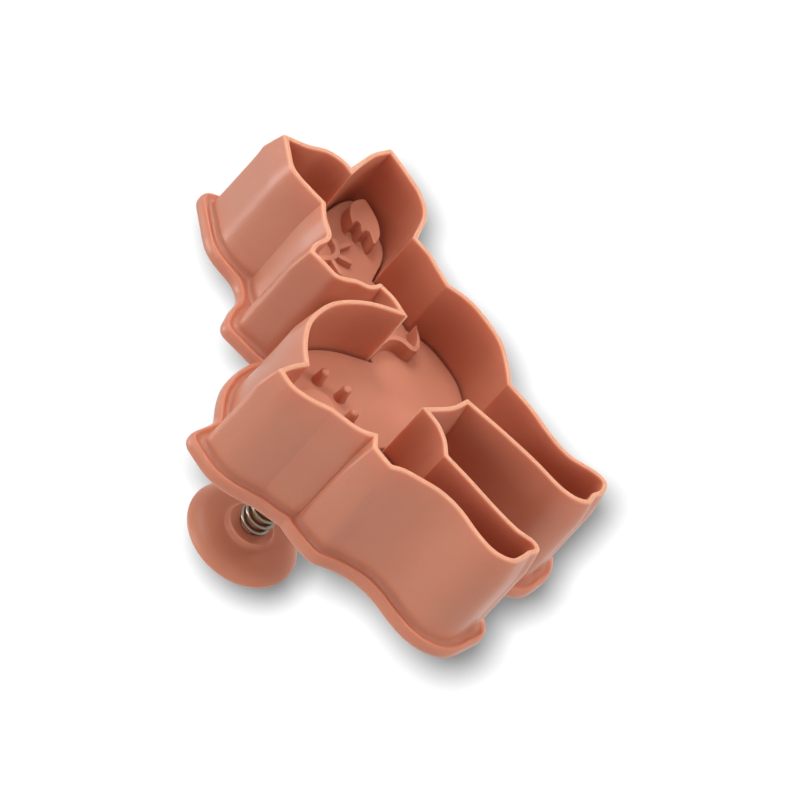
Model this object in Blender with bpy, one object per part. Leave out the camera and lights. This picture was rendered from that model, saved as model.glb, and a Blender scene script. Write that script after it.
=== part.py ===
"""Spring-plunger cookie cutter shaped as a fawn that looks back over its shoulder.

The cutting edge lies on z = 0 and the plunger's axis runs up along +Z to the knob.
The figure is drawn as the cutting side shows it, in millimetres right and up of its middle.
"""
import math

import bmesh
import bpy
from mathutils import Vector

MM = 0.001

# The figure and its wall
FIGURE_HEIGHT = 75.4 * MM
WALL_DEPTH = 22.0 * MM
EDGE_THICKNESS = 0.8 * MM
LIP_DEPTH = 6.2 * MM
LIP_FLARE = 0.85 * MM
WALL_STEP = 0.15 * MM
WALL_DRAFT = 0.35 * MM

# The flange round the foot of the wall, and the plate that closes the back
FLANGE_REACH = 2.35 * MM
FLANGE_THICKNESS = 2.0 * MM
FLANGE_BEAD = 0.3 * MM
FLANGE_CORNER_RADIUS = 1.5 * MM
BACK_PLATE_THICKNESS = 1.7 * MM
SPRING_SEAT_RIM_HEIGHT = 1.4 * MM
SPRING_SEAT_RIM_THICKNESS = 1.7 * MM

# The embossing stamp that slides inside the wall
STAMP_FACE_DEPTH = 12.6 * MM
STAMP_THICKNESS = 2.0 * MM
SKIRT_THICKNESS = 1.2 * MM
RIB_THICKNESS = 1.0 * MM
RIB_HEIGHT = 5.0 * MM
STAMP_BOSS_WALL = 2.0 * MM
RELIEF_HEIGHT = 3.0 * MM
EYE_HEIGHT = 1.3 * MM
HAUNCH_PAD_HEIGHT = 1.6 * MM
LINE_THICKNESS = 1.0 * MM
PIN_RADIUS = 1.05 * MM
PIN_TIP_RADIUS = 0.8 * MM

# The plunger: its stem, return spring and knob
STEM_RADIUS = 2.0 * MM
WIRE_RADIUS = 0.39 * MM
SPRING_RADIUS = 2.55 * MM
SPRING_ROOM = 28.0 * MM
SPRING_TURNS = 19
KNOB_RADIUS = 10.25 * MM
KNOB_DOME_HEIGHT = 3.3 * MM
KNOB_RIM_DEPTH = 1.2 * MM
KNOB_COLLAR_RISE = 1.0 * MM
KNOB_COLLAR_WALL = 1.1 * MM
KNOB_SOCKET_DEPTH = 2.8 * MM

# Clearances
SLIDING_GAP = 0.35 * MM
SEAT_GAP = 0.3 * MM
SPRING_GAP = 0.5 * MM
OVERLAP = 0.6 * MM

# Smoothness
STEPS_PER_SPAN = 2
TURNED_STEPS = 40
ARC_STEP = math.radians(24)
SHORTEST_EDGE = 0.6 * MM
POINTS_PER_TURN = 10

# The middle of the cutting edge, clockwise from the back of the front leg:
# right, up, and True at a corner
FAWN_OUTLINE = [
    (-3.7, -19.0, False),
    (-4.0, -12.3, True), (-7.6, -11.2, False),
    (-11.8, -8.3, True), (-12.6, -11.3, False), (-14.2, -13.6, False),
    (-16.5, -15.4, True), (-17.0, -20.4, False), (-17.8, -26.4, False), (-18.1, -31.2, False),
    (-17.6, -34.2, False), (-18.3, -35.6, False),
    (-20.0, -34.9, True), (-22.0, -34.5, False), (-23.9, -33.6, False), (-25.1, -30.8, False),
    (-24.8, -27.3, False), (-23.4, -22.4, False), (-23.3, -18.4, False),
    (-24.3, -14.8, False), (-25.3, -12.0, False),
    (-26.6, -10.2, True), (-26.4, -8.6, False),
    (-25.9, -6.4, True), (-24.8, -5.8, False),
    (-23.8, -5.2, True), (-24.9, -3.6, False), (-25.6, -1.6, False),
    (-26.1, 2.4, True), (-27.5, 5.6, False), (-28.2, 9.1, False),
    (-27.3, 12.1, True), (-24.8, 11.2, False),
    (-22.4, 10.0, True), (-19.2, 12.4, False), (-15.2, 14.1, False), (-11.4, 14.2, False),
    (-8.0, 13.4, False), (-4.8, 11.5, False), (-1.9, 8.8, False),
    (1.1, 4.6, True), (2.1, 7.3, False),
    (2.3, 10.2, True), (1.1, 10.7, False), (0.1, 11.6, False), (-0.7, 13.3, False),
    (-2.0, 14.7, False), (-3.0, 16.4, False), (-2.8, 18.6, False),
    (-2.6, 21.7, True), (-0.7, 22.0, False), (1.9, 21.4, False), (3.4, 21.9, False),
    (5.2, 24.0, False),
    (7.7, 25.9, True), (7.8, 29.0, False), (8.7, 32.3, False), (10.6, 35.0, False),
    (13.3, 37.7, True), (15.2, 34.2, False), (17.6, 31.3, False), (18.3, 28.4, False),
    (17.9, 26.3, True), (21.3, 26.1, False), (24.8, 25.6, False),
    (28.2, 24.2, True), (26.8, 19.8, False), (25.0, 15.6, False), (21.9, 12.8, False),
    (16.3, 11.5, True), (15.7, 8.1, False), (14.6, 5.6, False),
    (13.2, 2.5, True), (13.9, -1.0, False), (13.6, -4.6, False), (11.8, -9.7, False),
    (8.7, -13.1, False),
    (5.7, -15.5, True), (4.8, -20.8, False), (3.2, -26.0, False), (2.7, -30.2, False),
    (3.9, -34.6, False), (3.8, -37.0, False), (1.8, -37.7, False),
    (-0.3, -37.0, True), (-2.2, -37.0, False), (-3.6, -35.2, False), (-4.2, -32.0, False),
    (-3.7, -26.0, False),
]
OUTLINE_HEIGHT = max(point[1] for point in FAWN_OUTLINE) - min(point[1] for point in FAWN_OUTLINE)
PLUNGER_PLACE = (-6.9, 0.0)

# The middle of the flange's box in the same figure, which comes to lie on the origin
FLANGE_MIDDLE = (-0.23, 0.48)

# The flange's section from the wall outwards and round to the back: the share of its reach inwards
# from the rim, the share of its bead, and the share of its thickness
FLANGE_SECTION = [
    (0.68, 0.0, 0.0), (0.56, 0.8, 0.0), (0.36, 1.0, 0.0), (0.14, 0.4, 0.0),
    (0.0, 0.0, 0.25), (0.0, 0.0, 0.7), (0.08, 0.0, 0.9), (0.26, 0.0, 1.0),
]

# Relief on the stamp, drawn in the same way
EAR_PAD = [
    (23.0, 23.3), (24.5, 23.1), (25.8, 22.4), (25.8, 21.5), (25.3, 20.3), (24.1, 18.2), (22.3, 16.5),
    (21.0, 16.0), (19.7, 15.8), (19.4, 16.1), (20.0, 16.9), (20.7, 17.8), (20.5, 18.4), (19.5, 18.6),
    (19.8, 19.1), (20.6, 19.8), (20.8, 20.4), (20.4, 20.7), (19.5, 20.7), (19.8, 21.3), (20.6, 22.1),
    (21.6, 22.8),
]
CHEST_FUR = [
    (2.2, 4.2), (3.6, 4.1), (4.8, 3.9), (5.7, 3.4), (6.4, 2.7), (6.8, 1.9), (6.9, 0.8), (6.9, 0.0),
    (7.2, -0.6),
]
CHEST_FUR_TUFT = [(7.2, -0.6), (8.0, -0.6), (9.0, -0.2), (10.1, 0.5), (11.6, 1.8)]
EYELID = [(10.1, 20.6), (11.0, 20.0), (12.1, 19.4), (13.3, 19.3), (14.3, 19.7), (15.0, 20.4), (15.3, 21.2)]
LASHES = [((14.6, 19.9), (17.3, 19.0)), ((13.3, 19.2), (14.2, 16.8)), ((11.8, 19.5), (10.7, 16.8))]
NOSE = (1.2, 19.2)
NOSE_RADIUS = 1.7 * MM
SPOTS = [(-10.6, 7.4), (-10.1, 3.0), (-12.9, -0.4), (-18.3, 9.7)]
HAUNCH_PAD = (-16.6, 4.7)
HAUNCH_PAD_RADIUS = 3.7 * MM

# Levels along the plunger's axis, from the cutting edge to the knob
FLANGE_LEVEL = WALL_DEPTH
BACK_LEVEL = FLANGE_LEVEL + FLANGE_THICKNESS
POCKET_LEVEL = BACK_LEVEL - BACK_PLATE_THICKNESS
STAMP_BACK_LEVEL = STAMP_FACE_DEPTH + STAMP_THICKNESS
STAMP_STOP_LEVEL = POCKET_LEVEL - SEAT_GAP
KNOB_SEAT_LEVEL = BACK_LEVEL + SPRING_ROOM
KNOB_RIM_LEVEL = KNOB_SEAT_LEVEL + KNOB_RIM_DEPTH
KNOB_SOCKET_LEVEL = KNOB_SEAT_LEVEL + KNOB_SOCKET_DEPTH

STEM_HOLE_RADIUS = STEM_RADIUS + SEAT_GAP
SPRING_POCKET_RADIUS = SPRING_RADIUS + WIRE_RADIUS + SPRING_GAP
WALL_FOOT = LIP_FLARE + WALL_STEP + WALL_DRAFT
PLATE_INSET = EDGE_THICKNESS / 2 + SLIDING_GAP


def clear_scene():
    """Removes whatever the file opened with."""
    for thing in list(bpy.data.objects):
        bpy.data.objects.remove(thing)


def from_figure(point):
    """Turns right and up, as the cutting side shows the figure, into x and y."""
    scale = FIGURE_HEIGHT / OUTLINE_HEIGHT
    return Vector((FLANGE_MIDDLE[1] - point[1], FLANGE_MIDDLE[0] - point[0])) * scale


def smooth_curve(points, corners, closed):
    """Runs a smooth curve through the points, broken at the corners."""
    count = len(points)
    spans = count if closed else count - 1
    curve = []
    for index in range(spans):
        start = points[index]
        end = points[(index + 1) % count]
        chord = end - start
        leaving = chord
        arriving = chord
        if not corners[index]:
            leaving = (end - points[index - 1]) / 2
        if not corners[(index + 1) % count]:
            arriving = (points[(index + 2) % count] - start) / 2
        for step in range(STEPS_PER_SPAN):
            t = step / STEPS_PER_SPAN
            curve.append(
                start * (2 * t**3 - 3 * t**2 + 1)
                + leaving * (t**3 - 2 * t**2 + t)
                + end * (3 * t**2 - 2 * t**3)
                + arriving * (t**3 - t**2)
            )
    if not closed:
        curve.append(points[-1])
    return curve


def open_curve(figure_points):
    """A smooth run through some figure points, from the first to the last."""
    points = [from_figure(point) for point in figure_points]
    corners = [index in (0, len(points) - 1) for index in range(len(points))]
    return smooth_curve(points, corners, closed=False)


def fawn_outline():
    """The cutting edge, anticlockwise as seen from above."""
    points = [from_figure(point) for point in FAWN_OUTLINE]
    corners = [point[2] for point in FAWN_OUTLINE]
    return smooth_curve(points, corners, closed=True)


def right_of(direction):
    """The unit vector to the right of a direction, which is outwards on an outline."""
    return Vector((direction.y, -direction.x)).normalized()


def crossing(a, b, c, d):
    """Where segment ab crosses segment cd, or None."""
    along = b - a
    other = d - c
    area = along.cross(other)
    if area == 0:
        return None
    t = (c - a).cross(other) / area
    u = (c - a).cross(along) / area
    if 0 < t < 1 and 0 < u < 1:
        return a + along * t
    return None


def without_loops(points):
    """Cuts off each loop where a moved outline crosses itself, and the short edges beside it."""
    kept = list(points)
    index = 0
    while index < len(kept) - 2:
        longest = min(len(kept) - 2, index + len(kept) // 3)
        for other in range(longest, index + 1, -1):
            place = crossing(kept[index], kept[index + 1], kept[other], kept[other + 1])
            if place:
                start = index + 1
                end = other + 1
                while (kept[start - 1] - place).length < SHORTEST_EDGE:
                    start -= 1
                while (kept[end] - place).length < SHORTEST_EDGE:
                    end += 1
                kept[start:end] = [place]
                break
        index += 1
    return [
        point for index, point in enumerate(kept)
        if (point - kept[index - 1]).length > SHORTEST_EDGE
    ]


def offset_outline(outline, distance, rounded=False):
    """Moves an outline outwards, or inwards where the distance is negative."""
    moved = []
    count = len(outline)
    for index, here in enumerate(outline):
        before = right_of(here - outline[index - 1])
        after = right_of(outline[(index + 1) % count] - here)
        angle = math.atan2(before.cross(after), before.dot(after))
        if rounded and angle * distance > 0 and abs(angle) > ARC_STEP:
            steps = math.ceil(abs(angle) / ARC_STEP)
            for step in range(steps + 1):
                turn = angle * step / steps
                spoke = Vector((
                    before.x * math.cos(turn) - before.y * math.sin(turn),
                    before.x * math.sin(turn) + before.y * math.cos(turn),
                ))
                moved.append(here + spoke * distance)
        else:
            moved.append(here + (before + after).normalized() * distance / math.cos(angle / 2))
    return without_loops(moved)


def ring_inside(ring, distance):
    """Draws a ring in by a small distance, point for point, so that two rings can be bridged."""
    drawn_in = []
    count = len(ring)
    for index, here in enumerate(ring):
        before = right_of(here - ring[index - 1])
        after = right_of(ring[(index + 1) % count] - here)
        half_cosine = math.sqrt(max(0.1, (1 + before.dot(after)) / 2))
        drawn_in.append(here - (before + after).normalized() * distance / half_cosine)
    return drawn_in


def with_eased_hollows(ring):
    """Draws the points of a ring's inward bends halfway towards the middle of their neighbours."""
    eased = []
    for index, here in enumerate(ring):
        before = ring[index - 1]
        after = ring[(index + 1) % len(ring)]
        hollow = (here - before).cross(after - here) < 0
        eased.append((before + here * 2 + after) / 4 if hollow else here)
    return eased


def new_object(name, bm, material=None):
    """Turns a bmesh into an object, with its faces pointing out."""
    bmesh.ops.recalc_face_normals(bm, faces=bm.faces)
    mesh = bpy.data.meshes.new(name)
    bm.to_mesh(mesh)
    bm.free()
    made = bpy.data.objects.new(name, mesh)
    bpy.context.scene.collection.objects.link(made)
    if material:
        mesh.materials.append(material)
    return made


def add_loft(bm, rings, levels):
    """Adds a closed solid whose skin runs through the rings at their levels."""
    loops = []
    for ring, level in zip(rings, levels):
        loops.append([bm.verts.new((point.x, point.y, level)) for point in ring])
    for lower, upper in zip(loops, loops[1:]):
        for index in range(len(lower)):
            after = (index + 1) % len(lower)
            bm.faces.new((lower[index], lower[after], upper[after], upper[index]))
    bm.faces.new(list(reversed(loops[0])))
    bm.faces.new(loops[-1])


def loft(name, rings, levels, material=None):
    """Makes a lofted solid."""
    bm = bmesh.new()
    add_loft(bm, rings, levels)
    return new_object(name, bm, material)


def circle(middle, radius, steps):
    """A ring of points, anticlockwise."""
    ring = []
    for step in range(steps):
        turn = 2 * math.pi * step / steps
        ring.append(middle + Vector((math.cos(turn), math.sin(turn))) * radius)
    return ring


def turned(name, profile, material=None):
    """Turns a profile of radius and level about the plunger's axis."""
    axis = from_figure(PLUNGER_PLACE)
    bm = bmesh.new()
    verts = [bm.verts.new((radius, 0, level)) for radius, level in profile]
    edges = [bm.edges.new(pair) for pair in zip(verts, verts[1:])]
    if profile[0][0] > 0:
        edges.append(bm.edges.new((verts[-1], verts[0])))
    bmesh.ops.spin(
        bm, geom=verts + edges, axis=(0, 0, 1), cent=(0, 0, 0),
        steps=TURNED_STEPS, angle=2 * math.pi, use_duplicate=False,
    )
    bmesh.ops.remove_doubles(bm, verts=bm.verts, dist=0.00001)
    made = new_object(name, bm, material)
    made.location = (axis.x, axis.y, 0)
    return made


def combine(target, tool, operation):
    """Joins, cuts or intersects a solid with a hidden tool solid."""
    modifier = target.modifiers.new(tool.name, "BOOLEAN")
    modifier.operation = operation
    modifier.solver = "EXACT"
    modifier.object = tool
    tool.hide_render = True
    tool.display_type = "WIRE"


def plastic(name):
    """Salmon-pink moulded polypropylene."""
    material = bpy.data.materials.new(name)
    material.use_nodes = True
    shader = material.node_tree.nodes["Principled BSDF"]
    shader.inputs["Base Color"].default_value = (0.62, 0.25, 0.17, 1)
    shader.inputs["Roughness"].default_value = 0.38
    return material


def spring_steel(name):
    """Bright drawn spring wire."""
    material = bpy.data.materials.new(name)
    material.use_nodes = True
    shader = material.node_tree.nodes["Principled BSDF"]
    shader.inputs["Base Color"].default_value = (0.6, 0.58, 0.55, 1)
    shader.inputs["Metallic"].default_value = 1
    shader.inputs["Roughness"].default_value = 0.22
    return material


def stroke(points, thickness):
    """The outline of a line of some thickness along an open run of points."""
    left = []
    right = []
    for index, here in enumerate(points):
        before = points[max(index - 1, 0)]
        after = points[min(index + 1, len(points) - 1)]
        side = right_of(after - before) * thickness / 2
        left.append(here - side)
        right.append(here + side)
    return right + left[::-1]


def make_cutter_body(outline):
    """The moulded wall with its thin bevelled lip, the beaded flange and the back plate."""
    foot = offset_outline(outline, WALL_FOOT)
    wall_profile = [
        (EDGE_THICKNESS / 2, 0),
        (LIP_FLARE, LIP_DEPTH),
        (LIP_FLARE + WALL_STEP, LIP_DEPTH + WALL_STEP),
        (WALL_FOOT, FLANGE_LEVEL + OVERLAP),
    ]
    rings = [ring_inside(foot, WALL_FOOT - out) for out, _ in wall_profile]
    body = loft("cutter_body", rings, [level for _, level in wall_profile], plastic("cutter_plastic"))

    pointed_rim = offset_outline(outline, WALL_FOOT + FLANGE_REACH - FLANGE_CORNER_RADIUS)
    rim = with_eased_hollows(offset_outline(pointed_rim, FLANGE_CORNER_RADIUS, rounded=True))
    rings = [ring_inside(rim, FLANGE_REACH * inwards) for inwards, _, _ in FLANGE_SECTION]
    levels = [
        FLANGE_LEVEL - FLANGE_BEAD * bead + FLANGE_THICKNESS * thickness
        for _, bead, thickness in FLANGE_SECTION
    ]
    flange = loft("flange_solid", rings, levels)
    combine(body, flange, "UNION")

    inside = offset_outline(outline, -EDGE_THICKNESS / 2)
    pocket = loft("pocket_cutter", [inside, inside], [-OVERLAP, POCKET_LEVEL])
    combine(body, pocket, "DIFFERENCE")

    seat = turned("spring_seat_solid", [
        (SPRING_POCKET_RADIUS, BACK_LEVEL - OVERLAP),
        (SPRING_POCKET_RADIUS, BACK_LEVEL + SPRING_SEAT_RIM_HEIGHT),
        (SPRING_POCKET_RADIUS + SPRING_SEAT_RIM_THICKNESS * 0.7, BACK_LEVEL + SPRING_SEAT_RIM_HEIGHT),
        (SPRING_POCKET_RADIUS + SPRING_SEAT_RIM_THICKNESS, BACK_LEVEL - OVERLAP),
    ])
    combine(body, seat, "UNION")
    axis = from_figure(PLUNGER_PLACE)
    hole = circle(axis, STEM_HOLE_RADIUS, TURNED_STEPS)
    bore = loft("stem_bore_cutter", [hole, hole], [POCKET_LEVEL - OVERLAP, BACK_LEVEL + OVERLAP])
    combine(body, bore, "DIFFERENCE")
    return body


def add_raised(bm, ring, height):
    """Adds an upright island on the stamp's face, rooted in the plate by a share of its height."""
    add_loft(bm, [ring, ring], [STAMP_FACE_DEPTH - height, STAMP_FACE_DEPTH + height / 3])


def add_cone(bm, middle, tip_radius, foot_radius, height):
    """Adds a round island that narrows a little towards its tip."""
    steps = TURNED_STEPS // 2
    tip = circle(middle, tip_radius, steps)
    foot = circle(middle, foot_radius, steps)
    add_loft(bm, [tip, foot], [STAMP_FACE_DEPTH - height, STAMP_FACE_DEPTH + height / 3])


def make_relief():
    """The raised ear, chest fur, eyelid, nose, spots and haunch."""
    bm = bmesh.new()
    add_raised(bm, [from_figure(point) for point in EAR_PAD], RELIEF_HEIGHT)
    add_raised(bm, stroke(open_curve(CHEST_FUR), LINE_THICKNESS), RELIEF_HEIGHT)
    add_raised(bm, stroke(open_curve(EYELID), LINE_THICKNESS), EYE_HEIGHT)
    add_cone(bm, from_figure(NOSE), NOSE_RADIUS, NOSE_RADIUS, EYE_HEIGHT)
    for spot in SPOTS:
        add_cone(bm, from_figure(spot), PIN_TIP_RADIUS, PIN_RADIUS, RELIEF_HEIGHT)
    add_cone(bm, from_figure(HAUNCH_PAD), HAUNCH_PAD_RADIUS, HAUNCH_PAD_RADIUS, HAUNCH_PAD_HEIGHT)
    return new_object("relief_solid", bm)


def make_relief_strokes():
    """The lashes and the last tuft of fur, which run into the lines above."""
    bm = bmesh.new()
    for start, end in LASHES:
        lash = [from_figure(start), from_figure(end)]
        add_raised(bm, stroke(lash, LINE_THICKNESS * 0.9), EYE_HEIGHT * 0.95)
    add_raised(bm, stroke(open_curve(CHEST_FUR_TUFT), LINE_THICKNESS * 0.9), RELIEF_HEIGHT * 0.98)
    return new_object("relief_stroke_solid", bm)


def make_stamp_plate(outline):
    """The embossing plate: a shallow moulded cup with ribs and a boss for the stem."""
    outside = offset_outline(outline, -PLATE_INSET)
    plate = loft("stamp_plate", [outside, outside], [STAMP_FACE_DEPTH, STAMP_STOP_LEVEL],
                 plastic("stamp_plastic"))
    inside = offset_outline(outline, -(PLATE_INSET + SKIRT_THICKNESS))
    hollow = loft("hollow_cutter", [inside, inside], [STAMP_BACK_LEVEL, STAMP_STOP_LEVEL + OVERLAP])
    combine(plate, hollow, "DIFFERENCE")

    axis = from_figure(PLUNGER_PLACE)
    within = offset_outline(outline, -(PLATE_INSET + SKIRT_THICKNESS / 2))
    limit = loft("rib_limit", [within, within],
                 [STAMP_BACK_LEVEL - 2 * OVERLAP, STAMP_STOP_LEVEL + OVERLAP])
    for name, side in (("long_rib", Vector((1, 0))), ("cross_rib", Vector((0, 1)))):
        reach = side * FIGURE_HEIGHT
        bar = stroke([axis - reach, axis + reach], RIB_THICKNESS)
        rib = loft(name, [bar, bar], [STAMP_BACK_LEVEL - OVERLAP, STAMP_BACK_LEVEL + RIB_HEIGHT])
        combine(rib, limit, "INTERSECT")
        combine(plate, rib, "UNION")

    ring = circle(axis, STEM_HOLE_RADIUS + STAMP_BOSS_WALL, TURNED_STEPS)
    boss = loft("boss_solid", [ring, ring], [STAMP_BACK_LEVEL - OVERLAP, STAMP_STOP_LEVEL])
    combine(plate, boss, "UNION")
    hole = circle(axis, STEM_HOLE_RADIUS, TURNED_STEPS)
    bore = loft("boss_bore_cutter", [hole, hole], [STAMP_BACK_LEVEL, STAMP_STOP_LEVEL + OVERLAP])
    combine(plate, bore, "DIFFERENCE")
    combine(plate, make_relief(), "UNION")
    combine(plate, make_relief_strokes(), "UNION")
    return plate


def make_plunger_stem():
    """The moulded rod that ties the knob to the stamp."""
    chamfer = STEM_RADIUS / 5
    bottom = STAMP_BACK_LEVEL + SEAT_GAP
    top = KNOB_SOCKET_LEVEL - SEAT_GAP
    return turned("plunger_stem", [
        (0, bottom),
        (STEM_RADIUS - chamfer, bottom),
        (STEM_RADIUS, bottom + chamfer),
        (STEM_RADIUS, top - chamfer),
        (STEM_RADIUS - chamfer, top),
        (0, top),
    ], plastic("stem_plastic"))


def make_return_spring():
    """The helix of spring wire between the back plate and the knob."""
    axis = from_figure(PLUNGER_PLACE)
    bottom = BACK_LEVEL + SEAT_GAP + WIRE_RADIUS
    length = SPRING_ROOM - 2 * (SEAT_GAP + WIRE_RADIUS)
    curve = bpy.data.curves.new("return_spring", "CURVE")
    curve.dimensions = "3D"
    curve.bevel_depth = WIRE_RADIUS
    curve.bevel_resolution = 1
    curve.use_fill_caps = True
    spline = curve.splines.new("POLY")
    count = SPRING_TURNS * POINTS_PER_TURN
    spline.points.add(count)
    for index in range(count + 1):
        turn = 2 * math.pi * index / POINTS_PER_TURN
        x = SPRING_RADIUS * math.cos(turn)
        y = SPRING_RADIUS * math.sin(turn)
        spline.points[index].co = (x, y, bottom + length * index / count, 1)
    curve.materials.append(spring_steel("spring_wire"))
    spring = bpy.data.objects.new("return_spring", curve)
    spring.location = (axis.x, axis.y, 0)
    bpy.context.scene.collection.objects.link(spring)
    places = [Vector(point.co[:3]) for point in spline.points]
    least = min(
        (places[index] - places[other]).length
        for index in range(count + 1)
        for other in range(index + POINTS_PER_TURN // 2, count + 1)
    )
    print("least gap of the spring to itself: %.2f mm" % ((least - 2 * WIRE_RADIUS) / MM))
    return spring


def make_knob():
    """The mushroom knob, with a collar round the spring and a socket for the stem."""
    collar = KNOB_SEAT_LEVEL - KNOB_COLLAR_RISE
    collar_radius = SPRING_POCKET_RADIUS + KNOB_COLLAR_WALL
    rounding = KNOB_COLLAR_WALL * 0.25
    profile = [
        (0, KNOB_SOCKET_LEVEL),
        (STEM_HOLE_RADIUS, KNOB_SOCKET_LEVEL),
        (STEM_HOLE_RADIUS, KNOB_SEAT_LEVEL),
        (SPRING_POCKET_RADIUS, KNOB_SEAT_LEVEL),
        (SPRING_POCKET_RADIUS, collar + rounding),
        (SPRING_POCKET_RADIUS + rounding, collar),
        (collar_radius - rounding, collar),
        (collar_radius, collar + rounding),
        (collar_radius, KNOB_SEAT_LEVEL - KNOB_COLLAR_RISE / 4),
        (collar_radius + rounding, KNOB_SEAT_LEVEL),
        (KNOB_RADIUS * 0.94, KNOB_RIM_LEVEL - KNOB_RIM_DEPTH * 0.7),
        (KNOB_RADIUS * 0.985, KNOB_RIM_LEVEL - KNOB_RIM_DEPTH * 0.35),
    ]
    dome_steps = 9
    for step in range(dome_steps):
        turn = math.pi / 2 * step / dome_steps
        profile.append((KNOB_RADIUS * math.cos(turn), KNOB_RIM_LEVEL + KNOB_DOME_HEIGHT * math.sin(turn)))
    profile.append((0, KNOB_RIM_LEVEL + KNOB_DOME_HEIGHT))
    return turned("knob", profile, plastic("knob_plastic"))


def main():
    """Builds the five pieces of the cutter."""
    clear_scene()
    outline = fawn_outline()
    make_cutter_body(outline)
    make_stamp_plate(outline)
    make_plunger_stem()
    make_return_spring()
    make_knob()


main()
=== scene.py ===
import math

import bmesh
import bpy
from mathutils import Matrix, Vector


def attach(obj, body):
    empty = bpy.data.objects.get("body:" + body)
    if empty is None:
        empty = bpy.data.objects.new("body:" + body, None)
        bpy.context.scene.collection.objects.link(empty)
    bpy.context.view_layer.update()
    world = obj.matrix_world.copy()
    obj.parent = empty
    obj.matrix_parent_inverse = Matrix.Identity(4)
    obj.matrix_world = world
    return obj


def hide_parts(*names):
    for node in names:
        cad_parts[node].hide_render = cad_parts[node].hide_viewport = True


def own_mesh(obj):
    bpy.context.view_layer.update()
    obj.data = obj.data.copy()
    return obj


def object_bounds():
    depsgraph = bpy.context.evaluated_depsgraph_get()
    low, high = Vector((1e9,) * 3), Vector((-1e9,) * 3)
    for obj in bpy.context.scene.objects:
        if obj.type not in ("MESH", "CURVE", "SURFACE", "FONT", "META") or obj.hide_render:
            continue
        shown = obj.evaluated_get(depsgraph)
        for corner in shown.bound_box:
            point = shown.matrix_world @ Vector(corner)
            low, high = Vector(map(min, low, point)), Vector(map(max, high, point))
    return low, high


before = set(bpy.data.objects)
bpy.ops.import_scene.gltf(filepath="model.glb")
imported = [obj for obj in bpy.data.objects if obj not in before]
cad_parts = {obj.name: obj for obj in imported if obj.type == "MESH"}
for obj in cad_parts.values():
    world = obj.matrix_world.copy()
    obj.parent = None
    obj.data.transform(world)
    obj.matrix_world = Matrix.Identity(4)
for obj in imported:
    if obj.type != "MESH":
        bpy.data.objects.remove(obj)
cad_low, cad_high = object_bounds()

# The cutter body is one moulding in salmon polypropylene: a thin wall that follows the fawn,
# drawn to a bevelled cutting lip, with a beaded flange round its foot and a plate across the back.
# Sizes here and below are in millimetres, and MM turns them into Blender's metres.
MM = 0.001
EDGE_THICKNESS = 0.8
EDGE_ROUNDING = 0.25
LIP_FLARE = 1.3
WALL_FOOT = 1.85
FLANGE_REACH = 1.95
FLANGE_CORNER_RADIUS = 2.1
BACK_LEVEL = 24.0
POCKET_LEVEL = 22.3
STEM_HOLE_RADIUS = 2.3
SPRING_POCKET_RADIUS = 3.44
SEAT_RIM_HEIGHT = 1.4
SEAT_RIM_RADIUS = 5.14
SHARP_ANGLE = math.radians(38)
SALMON = "#CF8B6F"
SALMON_FLOW = "#CB8369"
# The lip's painted glow and highlight: the paler colour painted on the lip's end, and how far up from the
# cutting edge it reaches
PAINTED_LIP_GLOW = "#DFA083"
PAINTED_GLOW_REACH = 0.6
FLOW_MARK_SIZE = 9.0
GRAIN_SIZE = 0.25
GRAIN_DEPTH = 0.02
GLOW_DEPTH = 2.0

# How outlines are drawn. The two turns are sines: a bend below the first is a crease that stays sharp,
# and one below the second is a hollow that may be filled.
POINT_SPACING = 0.3
LONGEST_LOOP = 110
ARC_STEP = math.radians(10)
CREASE_TURN = -0.2
STRAIGHT_TURN = 0.0001
HOLLOW_PASSES = 80

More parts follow.
